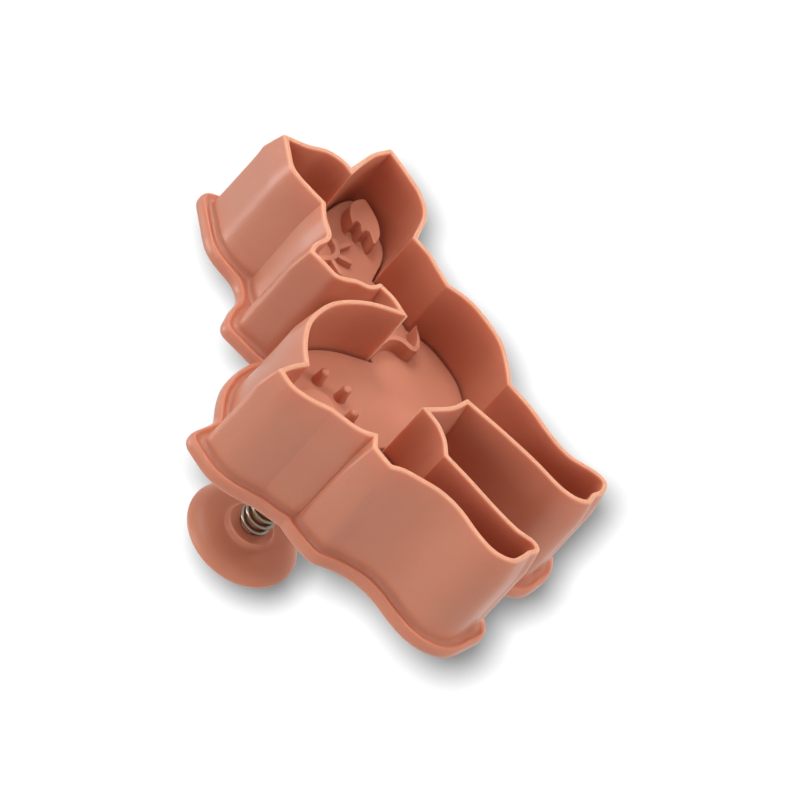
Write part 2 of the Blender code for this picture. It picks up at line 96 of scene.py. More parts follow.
# The middle of the cutting edge as the mouth shows it, clockwise: right, up, and 1 at a corner
FAWN_EDGE = [
    (-3.7, -19.0, 0),
    (-4.0, -12.3, 1), (-7.6, -11.2, 0),
    (-11.8, -8.3, 1), (-12.6, -11.3, 0), (-14.2, -13.6, 0),
    (-16.5, -15.4, 1), (-17.0, -20.4, 0), (-17.8, -26.4, 0), (-18.1, -31.2, 0),
    (-17.6, -34.2, 0), (-18.3, -35.6, 0),
    (-20.0, -34.9, 1), (-22.0, -34.5, 0), (-23.9, -33.6, 0), (-25.1, -30.8, 0),
    (-24.8, -27.3, 0), (-23.4, -22.4, 0), (-23.3, -18.4, 0),
    (-24.3, -14.8, 0), (-25.3, -12.0, 0),
    (-26.6, -10.2, 1), (-26.4, -8.6, 0),
    (-25.9, -6.4, 1), (-24.8, -5.8, 0),
    (-23.8, -5.2, 1), (-24.9, -3.6, 0), (-25.6, -1.6, 0),
    (-26.1, 2.4, 1), (-27.5, 5.6, 0), (-28.2, 9.1, 0),
    (-27.3, 12.1, 1), (-24.8, 11.2, 0),
    (-22.4, 10.0, 1), (-19.2, 12.4, 0), (-15.2, 14.1, 0), (-11.4, 14.2, 0),
    (-8.0, 13.4, 0), (-4.8, 11.5, 0), (-1.9, 8.8, 0),
    (1.1, 4.6, 1), (2.1, 7.3, 0),
    (2.3, 10.2, 1), (1.1, 10.7, 0), (0.1, 11.6, 0), (-0.7, 13.3, 0),
    (-2.0, 14.7, 0), (-3.0, 16.4, 0), (-2.8, 18.6, 0),
    (-2.6, 21.7, 1), (-0.7, 22.0, 0), (1.9, 21.4, 0), (3.4, 21.9, 0),
    (5.2, 24.0, 0),
    (7.7, 25.9, 1), (7.95, 28.6, 0), (8.3, 31.6, 0), (9.1, 33.6, 0), (11.1, 35.6, 0),
    (13.3, 37.7, 1), (15.2, 34.2, 0), (17.6, 31.3, 0), (18.3, 28.4, 0),
    (17.9, 26.3, 1), (21.3, 26.1, 0), (24.8, 25.6, 0),
    (28.2, 24.2, 1), (26.8, 19.8, 0), (25.0, 15.6, 0), (21.9, 12.8, 0),
    (16.3, 11.5, 1), (15.7, 8.1, 0), (14.6, 5.6, 0),
    (13.2, 2.5, 1), (13.9, -1.0, 0), (13.6, -4.6, 0), (11.8, -9.7, 0),
    (8.7, -13.1, 0),
    (5.7, -15.5, 1), (4.8, -20.8, 0), (3.2, -26.0, 0), (2.7, -30.2, 0),
    (3.9, -34.6, 0), (3.8, -37.0, 0), (1.8, -37.7, 0),
    (-0.3, -37.0, 1), (-2.2, -37.0, 0), (-3.6, -35.2, 0), (-4.2, -32.0, 0),
    (-3.7, -26.0, 0),
]
PLUNGER_PLACE = (-6.9, 0.0)
FLANGE_MIDDLE = (-0.23, 0.48)


def on_plan(right, up):
    """A figure point, given as right and up in the mouth, as x and y from the middle of the flange."""
    return Vector((FLANGE_MIDDLE[1] - up, FLANGE_MIDDLE[0] - right))


def smooth_curve(points, corners, closed=True):
    """Runs a smooth curve through the points, broken at the corners, and gives the corners' places on it."""
    count = len(points)
    curve = []
    places = []
    for index in range(count if closed else count - 1):
        start = points[index]
        end = points[(index + 1) % count]
        leaving = arriving = end - start
        if corners[index]:
            places.append(len(curve))
        else:
            leaving = (end - points[index - 1]) / 2
        if not corners[(index + 1) % count]:
            arriving = (points[(index + 2) % count] - start) / 2
        steps = math.ceil((end - start).length / POINT_SPACING)
        for step in range(steps):
            t = step / steps
            curve.append(
                start * (2 * t**3 - 3 * t**2 + 1) + leaving * (t**3 - 2 * t**2 + t)
                + end * (3 * t**2 - 2 * t**3) + arriving * (t**3 - t**2)
            )
    if not closed:
        curve.append(points[-1])
    return curve, places


def right_of(direction):
    """The unit vector to the right of a direction, which is outwards on an outline."""
    return Vector((direction.y, -direction.x)).normalized()


def crossing(a, b, c, d):
    """Where segment ab crosses segment cd, or None."""
    along = b - a
    other = d - c
    area = along.cross(other)
    if area == 0:
        return None
    t = (c - a).cross(other) / area
    u = (c - a).cross(along) / area
    return a + along * t if 0 < t < 1 and 0 < u < 1 else None


def spread_evenly(run, count):
    """Puts so many points along a run of points, evenly spaced, from its start to just short of its end."""
    lengths = [(after - here).length for here, after in zip(run, run[1:])]
    spacing = sum(lengths) / count
    spread = []
    index = 0
    passed = 0.0
    for step in range(count):
        while index < len(lengths) - 1 and passed + lengths[index] < spacing * step:
            passed += lengths[index]
            index += 1
        share = (spacing * step - passed) / lengths[index] if lengths[index] else 0
        spread.append(run[index].lerp(run[index + 1], share))
    return spread


def moved_outline(outline, corners, distance, rounded=False):
    """Moves an outline outwards, or inwards where the distance is negative, and keeps its number of points.

    A loop where it would cross itself closes up, and the points are spread evenly between the corners.
    """
    count = len(outline)
    moved = []
    places = {}
    for index, here in enumerate(outline):
        before = right_of(here - outline[index - 1])
        after = right_of(outline[(index + 1) % count] - here)
        angle = math.atan2(before.cross(after), before.dot(after))
        spokes = [(before + after).normalized() / math.cos(angle / 2)]
        if rounded and angle > ARC_STEP:
            steps = 2 * math.ceil(angle / ARC_STEP / 2)
            spokes = [Matrix.Rotation(angle * step / steps, 2) @ before for step in range(steps + 1)]
        if index in corners:
            places[index] = len(moved) + len(spokes) // 2
        moved.extend(here + spoke * distance for spoke in spokes)

    index = 0
    while index < len(moved):
        for reach in range(LONGEST_LOOP, 1, -1):
            a, b, c, d = [(index + step) % len(moved) for step in (0, 1, reach, reach + 1)]
            place = crossing(moved[a], moved[b], moved[c], moved[d])
            if place:
                loop = [(index + step) % len(moved) for step in range(1, reach + 1)]
                for point in loop:
                    moved[point] = place
                closed_up = [corner for corner in places if places[corner] in loop]
                for corner in closed_up:
                    if corner != closed_up[len(closed_up) // 2]:
                        del places[corner]
                index += reach - 1
                break
        index += 1

    ring = [None] * count
    kept = sorted(places)
    for start, end in zip(kept, kept[1:] + [kept[0] + count]):
        first = places[start]
        last = places[end % count] + (len(moved) if end >= count else 0)
        run = [moved[place % len(moved)] for place in range(first, last + 1)]
        for step, point in enumerate(spread_evenly(run, end - start)):
            ring[(start + step) % count] = point
    return ring, kept


def turn_at(ring, index):
    """How sharply a ring turns at a point: above zero outwards, below zero inwards."""
    here = ring[index]
    ahead = (ring[(index + 1) % len(ring)] - here).normalized()
    return (here - ring[index - 1]).normalized().cross(ahead)


def softened(ring, passes):
    """Draws the points of a ring towards their neighbours, again and again, except at creases."""
    for _ in range(passes):
        ring = [
            here if turn_at(ring, index) < CREASE_TURN
            else (ring[index - 1] + here * 2 + ring[(index + 1) % len(ring)]) / 4
            for index, here in enumerate(ring)
        ]
    return ring


def with_filled_hollows(ring, passes):
    """Draws only the points of a ring's inward bends out towards the middle of their neighbours."""
    for _ in range(passes):
        ring = [
            (ring[index - 1] + here * 2 + ring[(index + 1) % len(ring)]) / 4
            if turn_at(ring, index) < STRAIGHT_TURN else here
            for index, here in enumerate(ring)
        ]
    return ring


def loop_at(bm, ring, level):
    """Puts a ring of points into a mesh at a level."""
    return [bm.verts.new((point.x * MM, point.y * MM, level * MM)) for point in ring]


def section_loops(bm, first, second, section):
    """Loops between two rings: each gives its share of the way, its level and its rounds of softening."""
    loops = []
    for share, level, passes in section:
        ring = [here.lerp(there, share) for here, there in zip(first, second)]
        loops.append(loop_at(bm, softened(ring, passes), level))
    return loops


def skin(bm, loops):
    """Joins each loop to the next with a band of faces."""
    for lower, upper in zip(loops, loops[1:]):
        for index in range(len(lower)):
            after = (index + 1) % len(lower)
            bm.faces.new((lower[index], lower[after], upper[after], upper[index]))


def fill(bm, *loops):
    """Fills the flat area inside the first loop, less what the other loops go round."""
    edges = []
    for loop in loops:
        for index, vert in enumerate(loop):
            pair = (loop[index - 1], vert)
            edges.append(bm.edges.get(pair) or bm.edges.new(pair))
    bmesh.ops.triangle_fill(bm, edges=edges, use_beauty=True)


def circle(middle, radius, steps=72):
    """A ring of points, anticlockwise."""
    turns = [2 * math.pi * step / steps for step in range(steps)]
    return [middle + Vector((math.cos(turn), math.sin(turn))) * radius for turn in turns]


def in_scene(name, data):
    """Puts a mesh, a lamp or a camera into the scene as an object."""
    made = bpy.data.objects.new(name, data)
    bpy.context.scene.collection.objects.link(made)
    return made


def outward_mesh(name, bm):
    """Ends the building of a mesh, with its faces turned outwards."""
    bmesh.ops.recalc_face_normals(bm, faces=bm.faces)
    mesh = bpy.data.meshes.new(name)
    bm.to_mesh(mesh)
    bm.free()
    return mesh


def riding_piece(name, mesh, body):
    """Makes a mesh a piece of the object that rides on a CAD body."""
    mesh.shade_smooth()
    mesh.set_sharp_from_angle(angle=SHARP_ANGLE)
    piece = in_scene(name, mesh)
    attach(piece, body)
    return piece


def finished(name, bm, material, body):
    """Makes what has been built a riding piece of one material."""
    mesh = outward_mesh(name, bm)
    mesh.materials.append(material)
    return riding_piece(name, mesh, body)


def linear(hex_colour):
    """An sRGB hex colour as linear red, green, blue and alpha."""
    values = [int(hex_colour[place:place + 2], 16) / 255 for place in (1, 3, 5)]
    return [v / 12.92 if v <= 0.04045 else ((v + 0.055) / 1.055)**2.4 for v in values] + [1]


def add_node(tree, kind, settings=None, links=None):
    """Adds a node, sets its properties or its input sockets' values, and links its inputs."""
    node = tree.nodes.new(kind)
    for name, value in (settings or {}).items():
        if isinstance(name, str) and hasattr(node, name):
            setattr(node, name, value)
        else:
            node.inputs[name].default_value = value
    for name, source in (links or {}).items():
        tree.links.new(source, node.inputs[name])
    return node


def moulded_polypropylene(name, colour, flow_colour, roughness, glow, painted_glow_colour=None):
    """Polypropylene from a spark-eroded mould: satin, a little translucent, with faint flow marks, and,
    where a glow colour is given, a painted glow at the lip's end.
    """
    material = bpy.data.materials.new(name)
    material.use_nodes = True
    tree = material.node_tree
    shader = tree.nodes["Principled BSDF"]
    place = add_node(tree, "ShaderNodeTexCoord").outputs["Object"]
    # The flow marks are wide and faint, and the mould's grain is drawn just coarse enough to show
    flow = add_node(tree, "ShaderNodeTexNoise",
                    {"Scale": 1 / (FLOW_MARK_SIZE * MM), "Detail": 3.0, "Distortion": 0.6},
                    {"Vector": place})
    tint = add_node(tree, "ShaderNodeMix", {"data_type": "RGBA", 6: linear(colour), 7: linear(flow_colour)},
                    {0: flow.outputs[0]})
    if painted_glow_colour:
        # The last half millimetre or so of the lip is painted paler: a painted glow for the light that
        # passes through its thin end, and a painted highlight
        level = add_node(tree, "ShaderNodeSeparateXYZ", links={"Vector": place}).outputs["Z"]
        painted_glow_share = add_node(tree, "ShaderNodeMapRange",
                            {"From Min": PAINTED_GLOW_REACH * MM, "From Max": PAINTED_GLOW_REACH * MM / 3}, {"Value": level})
        tint = add_node(tree, "ShaderNodeMix", {"data_type": "RGBA", 7: linear(painted_glow_colour)},
                        {0: painted_glow_share.outputs[0], 6: tint.outputs[2]})
    tree.links.new(tint.outputs[2], shader.inputs["Base Color"])
    grain = add_node(tree, "ShaderNodeTexNoise", {"Scale": 1 / (GRAIN_SIZE * MM), "Detail": 2.0},
                     {"Vector": place})
    gloss = add_node(tree, "ShaderNodeMapRange", {"To Min": roughness - 0.05, "To Max": roughness + 0.07},
                     {"Value": flow.outputs[0]})
    tree.links.new(gloss.outputs[0], shader.inputs["Roughness"])
    bump = add_node(tree, "ShaderNodeBump", {"Strength": 0.12, "Distance": GRAIN_DEPTH * MM},
                    {"Height": grain.outputs[0]})
    tree.links.new(bump.outputs[0], shader.inputs["Normal"])
    shader.inputs["IOR"].default_value = 1.49
    shader.inputs["Specular IOR Level"].default_value = 0.37
    shader.inputs["Subsurface Weight"].default_value = glow
    shader.inputs["Subsurface Radius"].default_value = (1.0, 0.75, 0.62)
    shader.inputs["Subsurface Scale"].default_value = GLOW_DEPTH * MM
    return material


fawn, fawn_corners = smooth_curve([on_plan(right, up) for right, up, _ in FAWN_EDGE],
                                  [point[2] for point in FAWN_EDGE])
axis = on_plan(*PLUNGER_PLACE)
edge_inside, _ = moved_outline(fawn, fawn_corners, -EDGE_THICKNESS / 2)
edge_outside, _ = moved_outline(fawn, fawn_corners, EDGE_THICKNESS / 2)
lip_foot, _ = moved_outline(fawn, fawn_corners, LIP_FLARE)
wall_foot, _ = moved_outline(fawn, fawn_corners, WALL_FOOT)
pointed_rim, rim_corners = moved_outline(fawn, fawn_corners, WALL_FOOT + FLANGE_REACH - FLANGE_CORNER_RADIUS)
flange_rim, _ = moved_outline(pointed_rim, rim_corners, FLANGE_CORNER_RADIUS, rounded=True)
flange_rim = with_filled_hollows(flange_rim, HOLLOW_PASSES)

# The section, from the back plate round the rim, down the wall and over the lip into the pocket.
# Each row is a loop: its share of the way between two outlines, its level and its rounds of softening.
FLANGE_SECTION = [
    (0.62, BACK_LEVEL, 3), (0.8, BACK_LEVEL, 3), (0.9, 23.93, 3), (0.96, 23.78, 3), (1.0, 23.5, 3),
    (1.0, 23.0, 3), (0.99, 22.6, 3), (0.95, 22.2, 3), (0.87, 21.87, 4), (0.78, 21.66, 4),
    (0.7, 21.58, 5), (0.62, 21.6, 6), (0.54, 21.71, 8), (0.46, 21.78, 9), (0.36, 21.82, 10),
    (0.26, 21.8, 11), (0.17, 21.72, 12), (0.1, 21.58, 13), (0.05, 21.4, 14), (0.015, 21.15, 15),
]
WALL_SECTION = [
    (0.98, 20.8, 16), (0.75, 16.5, 16), (0.5, 12.0, 15), (0.3, 8.6, 13), (0.22, 7.4, 11),
    (0.16, 6.6, 9), (0.1, 6.1, 6), (0.04, 5.7, 4),
]
LIP_SECTION = [(1.0, 5.3, 2), (0.5, 2.5, 2), (0.04, 0.5, 1)]
edge_rounding = [(1 - math.cos(turn), 1 - math.sin(turn)) for turn in (0.0, 0.5, 1.05, math.pi / 2)]
EDGE_SECTION = [
    (across * EDGE_ROUNDING / EDGE_THICKNESS, level * EDGE_ROUNDING, 1) for across, level in edge_rounding
] + [
    (1 - across * EDGE_ROUNDING / EDGE_THICKNESS, level * EDGE_ROUNDING, 1)
    for across, level in reversed(edge_rounding)
]
POCKET_SECTION = [(1.0, 3.0, 1), (1.0, 6.0, 4), (1.0, 10.0, 8), (1.0, POCKET_LEVEL, 8)]

body_mesh = bmesh.new()
body_loops = (
    section_loops(body_mesh, wall_foot, flange_rim, FLANGE_SECTION)
    + section_loops(body_mesh, lip_foot, wall_foot, WALL_SECTION)
    + section_loops(body_mesh, edge_outside, lip_foot, LIP_SECTION)
    + section_loops(body_mesh, edge_outside, edge_inside, EDGE_SECTION + POCKET_SECTION)
)
skin(body_mesh, body_loops)

# The hole for the stem and the rim that seats the spring, from the pocket up and out to the plate
SEAT_TOP = BACK_LEVEL + SEAT_RIM_HEIGHT
seat_profile = [
    (STEM_HOLE_RADIUS, POCKET_LEVEL), (STEM_HOLE_RADIUS, BACK_LEVEL),
    (SPRING_POCKET_RADIUS, BACK_LEVEL), (SPRING_POCKET_RADIUS, SEAT_TOP - 0.25),
    (SPRING_POCKET_RADIUS + 0.1, SEAT_TOP - 0.07), (SPRING_POCKET_RADIUS + 0.3, SEAT_TOP),
    (SEAT_RIM_RADIUS - 0.9, SEAT_TOP), (SEAT_RIM_RADIUS - 0.65, SEAT_TOP - 0.07),
    (SEAT_RIM_RADIUS - 0.5, SEAT_TOP - 0.25), (SEAT_RIM_RADIUS - 0.25, BACK_LEVEL + 0.25),
    (SEAT_RIM_RADIUS, BACK_LEVEL),
]
seat_loops = [loop_at(body_mesh, circle(axis, radius), level) for radius, level in seat_profile]
skin(body_mesh, seat_loops)
fill(body_mesh, body_loops[0], seat_loops[-1])
fill(body_mesh, body_loops[-1], seat_loops[0])

# The wall is the glossiest of the mouldings, and thin enough for light to glow through it. Its lip's end is
# painted paler, a painted glow and highlight
wall_plastic = moulded_polypropylene("satin_polypropylene_wall", SALMON, SALMON_FLOW, roughness=0.33,
                                     glow=0.8, painted_glow_colour=PAINTED_LIP_GLOW)
cutter_body = finished("cutter_wall_and_flange", body_mesh, wall_plastic, "cutter")
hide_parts("cutter_body")

# The stamp plate is a second moulding in polypropylene, a shallow cup that slides inside the wall.
# Its face is smooth, and the gap round it is a dark line in the photograph.
SLIDING_GAP = 0.35
STAMP_FACE = 12.6
STAMP_FLOOR = 14.6
STAMP_STOP = 22.0
SKIRT_THICKNESS = 1.2

STAMP_SECTION = [
    (0.42, STAMP_FACE, 10), (0.18, STAMP_FACE, 10), (0.08, STAMP_FACE + 0.03, 10),
    (0.025, STAMP_FACE + 0.1, 10), (0.0, STAMP_FACE + 0.22, 10), (0.0, 17.0, 10), (0.0, STAMP_STOP, 10),
    (0.9, STAMP_STOP, 10), (1.0, STAMP_STOP - 0.1, 10), (1.0, STAMP_FLOOR, 10),
]
plate_inset = EDGE_THICKNESS / 2 + SLIDING_GAP
stamp_edge, _ = moved_outline(fawn, fawn_corners, -plate_inset)
skirt_edge, _ = moved_outline(fawn, fawn_corners, -plate_inset - SKIRT_THICKNESS)
stamp_mesh = bmesh.new()
stamp_loops = section_loops(stamp_mesh, stamp_edge, skirt_edge, STAMP_SECTION)
skin(stamp_mesh, stamp_loops)
fill(stamp_mesh, stamp_loops[0])
fill(stamp_mesh, stamp_loops[-1])
# The stamp is thicker than the wall, so it hardly glows, and its face is a little duller
stamp_plastic = moulded_polypropylene("satin_polypropylene_stamp", "#CF8B70", "#CA8369", roughness=0.42,
                                      glow=0.25)
stamp_plate = finished("stamp_plate_cup", stamp_mesh, stamp_plastic, "plunger")
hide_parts("stamp_plate")

# The relief presses the ear, eye, chest fur and haunch into the dough.
# It is moulded with the stamp, with a little draft and a small rounding on each top edge.
RELIEF_HEIGHT = 3.0
RELIEF_ROUNDING = 0.22
RELIEF_DRAFT = 0.1
ROOT_DEPTH = 0.4
EYE_HEIGHT = 1.3
LASH_HEIGHT = EYE_HEIGHT * 0.95
TUFT_HEIGHT = RELIEF_HEIGHT * 0.98
LINE_WIDTH = 1.0
THIN_LINE_WIDTH = 0.9
TUFT_TIP_WIDTH = 0.35
ROUND_END_STEPS = 6
CORNER_LIMIT = 0.3
EAR_PAD = [
    (23.0, 23.3), (24.5, 23.1), (25.8, 22.4), (25.8, 21.5), (25.3, 20.3), (24.1, 18.2), (22.3, 16.5),
    (21.0, 16.0), (19.7, 15.8), (19.4, 16.1), (20.0, 16.9), (20.7, 17.8), (20.5, 18.4), (19.5, 18.6),
    (19.8, 19.1), (20.6, 19.8), (20.8, 20.4), (20.4, 20.7), (19.5, 20.7), (19.8, 21.3), (20.6, 22.1),
    (21.6, 22.8),
]
EAR_PAD_CUSPS = [(19.5, 18.6), (19.5, 20.7)]
CHEST_FUR = [
    (2.2, 4.2), (3.6, 4.1), (4.8, 3.9), (5.7, 3.4), (6.4, 2.7), (6.8, 1.9), (6.9, 0.8), (6.9, 0.0),
    (7.2, -0.6),
]
CHEST_FUR_TUFT = [(7.2, -0.6), (8.0, -0.6), (9.0, -0.2), (10.1, 0.5), (11.6, 1.8)]
EYELID = [(10.1, 20.6), (11.0, 20.0), (12.1, 19.4), (13.3, 19.3), (14.3, 19.7), (15.0, 20.4), (15.3, 21.2)]
LASHES = [[(14.6, 19.9), (17.3, 19.0)], [(13.3, 19.2), (14.2, 16.8)], [(11.8, 19.5), (10.7, 16.8)]]
NOSE = (1.2, 19.2)
NOSE_RADIUS = 1.7
HAUNCH_PAD = (-16.6, 4.7)
HAUNCH_PAD_RADIUS = 3.7
HAUNCH_PAD_HEIGHT = 1.6
HAUNCH_PAD_ROUNDING = 0.6


def stroke(points, width, end_width=None):
    """The outline of a line along an open run of points, with round ends, that may narrow to its end."""
    count = len(points)
    left = []
    right = []
    for index, here in enumerate(points):
        share = index / (count - 1)
        half = (width + ((end_width or width) - width) * share) / 2
        side = right_of(points[min(index + 1, count - 1)] - points[max(index - 1, 0)]) * half
        left.append(here - side)
        right.append(here + side)
    outline = list(right)
    for start, centre in ((right[-1], points[-1]), (left[0], points[0])):
        for step in range(1, ROUND_END_STEPS):
            turn = Matrix.Rotation(math.pi * step / ROUND_END_STEPS, 2)
            outline.append(centre + turn @ (start - centre))
        if centre is points[-1]:
            outline.extend(left[::-1])
    return outline


def add_island(bm, ring, height, rounding=RELIEF_ROUNDING):
    """Adds a closed island that stands on the stamp's face, rooted a little way into it."""
    top = STAMP_FACE - height
    profile = [
        (-RELIEF_DRAFT, STAMP_FACE + ROOT_DEPTH), (0.0, top + rounding),
        (rounding * 0.3, top + rounding * 0.3), (rounding, top), (rounding * 1.3, top),
    ]
    loops = []
    for inwards, level in profile:
        drawn_in = []
        for index, here in enumerate(ring):
            before = right_of(here - ring[index - 1])
            after = right_of(ring[(index + 1) % len(ring)] - here)
            # CORNER_LIMIT keeps the point of a sharp corner from moving too far
            half_cosine = math.sqrt(max(CORNER_LIMIT, (1 + before.dot(after)) / 2))
            drawn_in.append(here - (before + after).normalized() * inwards / half_cosine)
        loops.append(loop_at(bm, drawn_in, level))
    skin(bm, loops)
    fill(bm, loops[0])
    fill(bm, loops[-1])


def open_line(figure_points):
    """A smooth open run through figure points."""
    points = [on_plan(*point) for point in figure_points]
    ends = [index in (0, len(points) - 1) for index in range(len(points))]
    return smooth_curve(points, ends, closed=False)[0]


relief_mesh = bmesh.new()
ear_pad, _ = smooth_curve([on_plan(*point) for point in EAR_PAD],
                          [point in EAR_PAD_CUSPS for point in EAR_PAD])
add_island(relief_mesh, ear_pad, RELIEF_HEIGHT)
add_island(relief_mesh, stroke(open_line(CHEST_FUR), LINE_WIDTH), RELIEF_HEIGHT)
add_island(relief_mesh, stroke(open_line(CHEST_FUR_TUFT), THIN_LINE_WIDTH, TUFT_TIP_WIDTH), TUFT_HEIGHT)
add_island(relief_mesh, stroke(open_line(EYELID), LINE_WIDTH), EYE_HEIGHT)
for lash in LASHES:
    add_island(relief_mesh, stroke(open_line(lash), THIN_LINE_WIDTH), LASH_HEIGHT)
add_island(relief_mesh, circle(on_plan(*NOSE), NOSE_RADIUS, 40), EYE_HEIGHT)
add_island(relief_mesh, circle(on_plan(*HAUNCH_PAD), HAUNCH_PAD_RADIUS, 60), HAUNCH_PAD_HEIGHT,
           HAUNCH_PAD_ROUNDING)
finished("stamp_relief", relief_mesh, stamp_plastic, "plunger")

# The spots on the haunch are round pins of one size, moulded with the stamp in its polypropylene.
# They taper to a domed tip, which catches the light. A node tree sets a pin on each place.
SPOTS = [(-10.6, 7.4), (-10.1, 3.0), (-12.9, -0.4), (-18.3, 9.7)]
SPOT_FOOT_RADIUS = 1.05
SPOT_TIP_RADIUS = 0.8
SPOT_HEIGHT = 3.0


def turned_mesh(profile, middle, steps):
    """Turns a profile of radius and level about an upright axis."""
    bm = bmesh.new()
    loops = []
    for radius, level in profile:
        if radius == 0:
            loops.append([bm.verts.new((middle.x * MM, middle.y * MM, level * MM))])
        else:
            loops.append(loop_at(bm, circle(middle, radius, steps), level))
    for lower, upper in zip(loops, loops[1:]):
        for index in range(steps):
            after = (index + 1) % steps
            corners = [lower[index % len(lower)], lower[after % len(lower)],
                       upper[after % len(upper)], upper[index % len(upper)]]
            bm.faces.new(list(dict.fromkeys(corners)))
    return bm


def tree_result(name, tree, values, source):
    """Runs a node tree once on a mesh and keeps what it makes as a plain mesh."""
    host = in_scene(name + "_host", source)
    modifier = host.modifiers.new(name, "NODES")
    modifier.node_group = tree
    for item in tree.interface.items_tree:
        if item.item_type == "SOCKET" and item.in_out == "INPUT" and item.name in values:
            modifier[item.identifier] = values[item.name]
    evaluated = host.evaluated_get(bpy.context.evaluated_depsgraph_get())
    made = bpy.data.meshes.new_from_object(evaluated)
    bpy.data.objects.remove(host)
    return made


def new_tree(name, inputs):
    """A geometry tree with named inputs, its group input and its group output."""
    tree = bpy.data.node_groups.new(name, "GeometryNodeTree")
    for label, kind in inputs:
        tree.interface.new_socket(label, in_out="INPUT", socket_type=kind)
    tree.interface.new_socket("Geometry", in_out="OUTPUT", socket_type="NodeSocketGeometry")
    return tree, add_node(tree, "NodeGroupInput"), add_node(tree, "NodeGroupOutput")


pin_top = STAMP_FACE - SPOT_HEIGHT
pin_profile = [
    (0, pin_top), (SPOT_TIP_RADIUS * 0.45, pin_top + 0.04), (SPOT_TIP_RADIUS * 0.8, pin_top + 0.17),
    (SPOT_TIP_RADIUS, pin_top + 0.42), (SPOT_FOOT_RADIUS, STAMP_FACE),
    (SPOT_FOOT_RADIUS, STAMP_FACE + ROOT_DEPTH), (0, STAMP_FACE + ROOT_DEPTH),
]
pin_mesh = outward_mesh("spot_pin", turned_mesh(pin_profile, Vector((0, 0)), 40))
pin_object = in_scene("spot_pin_pattern", pin_mesh)

spot_tree, spot_in, spot_out = new_tree("pins_on_points", [
    ("Geometry", "NodeSocketGeometry"), ("Pin", "NodeSocketObject"), ("Material", "NodeSocketMaterial"),
])
pin_info = add_node(spot_tree, "GeometryNodeObjectInfo", links={"Object": spot_in.outputs["Pin"]})
pins = add_node(spot_tree, "GeometryNodeInstanceOnPoints", links={
    "Points": spot_in.outputs["Geometry"], "Instance": pin_info.outputs["Geometry"],
})
real_pins = add_node(spot_tree, "GeometryNodeRealizeInstances", links={"Geometry": pins.outputs[0]})
painted_pins = add_node(spot_tree, "GeometryNodeSetMaterial", links={
    "Geometry": real_pins.outputs[0], "Material": spot_in.outputs["Material"],
})
spot_tree.links.new(painted_pins.outputs[0], spot_out.inputs["Geometry"])
spot_places = bpy.data.meshes.new("spot_places")
spot_places.from_pydata([on_plan(*spot).to_3d() * MM for spot in SPOTS], [], [])
spots_mesh = tree_result("spots", spot_tree, {"Pin": pin_object, "Material": stamp_plastic}, spot_places)
bpy.data.objects.remove(pin_object)
riding_piece("haunch_spots", spots_mesh, "plunger")

# The stem is a plain moulded rod from the stamp's boss to the knob's socket.
# Only what shows between the coils matters, and it is the same polypropylene.
STEM_RADIUS = 2.0
STEM_BOTTOM = 14.9
STEM_MIDDLE = 35.0
STEM_TOP = 54.5
STEM_BEVEL = 0.4
stem_profile = [
    (0, STEM_BOTTOM), (STEM_RADIUS - STEM_BEVEL, STEM_BOTTOM), (STEM_RADIUS, STEM_BOTTOM + STEM_BEVEL),
    (STEM_RADIUS, STEM_MIDDLE), (STEM_RADIUS, STEM_TOP - STEM_BEVEL), (STEM_RADIUS - STEM_BEVEL, STEM_TOP),
    (0, STEM_TOP),
]
# The stem is solid and rubbed by its sliding, so it is the dullest of the mouldings
stem_plastic = moulded_polypropylene("satin_polypropylene_stem", SALMON, SALMON_FLOW, roughness=0.45,
                                     glow=0.2)
stem = finished("plunger_rod", turned_mesh(stem_profile, axis, 48), stem_plastic, "plunger")
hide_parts("plunger_stem")

# The return spring is cold-drawn steel wire, wound on a mandrel, with its end coils closed up.
# It stands in the seat on the back plate and bears on the knob's boss. It is built at rest, and rides on the
# cutter.
WIRE_RADIUS = 0.45
SPRING_RADIUS = 2.52
SPRING_BOTTOM = 24.1
SPRING_TOP = 50.2
SPRING_TURNS = 14.45
CLOSED_TURNS = 0.4
CLOSED_PITCH = 1.1
DULL_PATCH_SIZE = 0.5

spring_tree, spring_in, spring_out = new_tree("wound_spring", [
    ("Geometry", "NodeSocketGeometry"), ("Turns", "NodeSocketFloat"), ("Coil Radius", "NodeSocketFloat"),
    ("Wire Radius", "NodeSocketFloat"), ("Length", "NodeSocketFloat"), ("Closed Share", "NodeSocketFloat"),
    ("Closed Length", "NodeSocketFloat"), ("Bottom", "NodeSocketVector"), ("Material", "NodeSocketMaterial"),
])
coil = add_node(spring_tree, "GeometryNodeCurveSpiral", {"Resolution": 40, "Height": 0.0}, {
    "Rotations": spring_in.outputs["Turns"], "Start Radius": spring_in.outputs["Coil Radius"],
    "End Radius": spring_in.outputs["Coil Radius"],
})
along = add_node(spring_tree, "GeometryNodeSplineParameter").outputs["Factor"]
open_share = add_node(spring_tree, "ShaderNodeMath", {"operation": "SUBTRACT", 0: 1.0},
                      {1: spring_in.outputs["Closed Share"]}).outputs[0]
twice_closed = add_node(spring_tree, "ShaderNodeMath", {"operation": "MULTIPLY", 1: 2.0},
                        {0: spring_in.outputs["Closed Length"]}).outputs[0]
open_length = add_node(spring_tree, "ShaderNodeMath", {"operation": "SUBTRACT"},
                       {0: spring_in.outputs["Length"], 1: twice_closed}).outputs[0]
first_rise = add_node(spring_tree, "ShaderNodeMapRange", links={
    "Value": along, "From Max": spring_in.outputs["Closed Share"],
    "To Max": spring_in.outputs["Closed Length"],
}).outputs[0]
main_rise = add_node(spring_tree, "ShaderNodeMapRange", links={
    "Value": along, "From Min": spring_in.outputs["Closed Share"], "From Max": open_share,
    "To Max": open_length,
}).outputs[0]
last_rise = add_node(spring_tree, "ShaderNodeMapRange", links={
    "Value": along, "From Min": open_share, "To Max": spring_in.outputs["Closed Length"],
}).outputs[0]
lower_rise = add_node(spring_tree, "ShaderNodeMath", {"operation": "ADD"}, {0: first_rise, 1: main_rise})
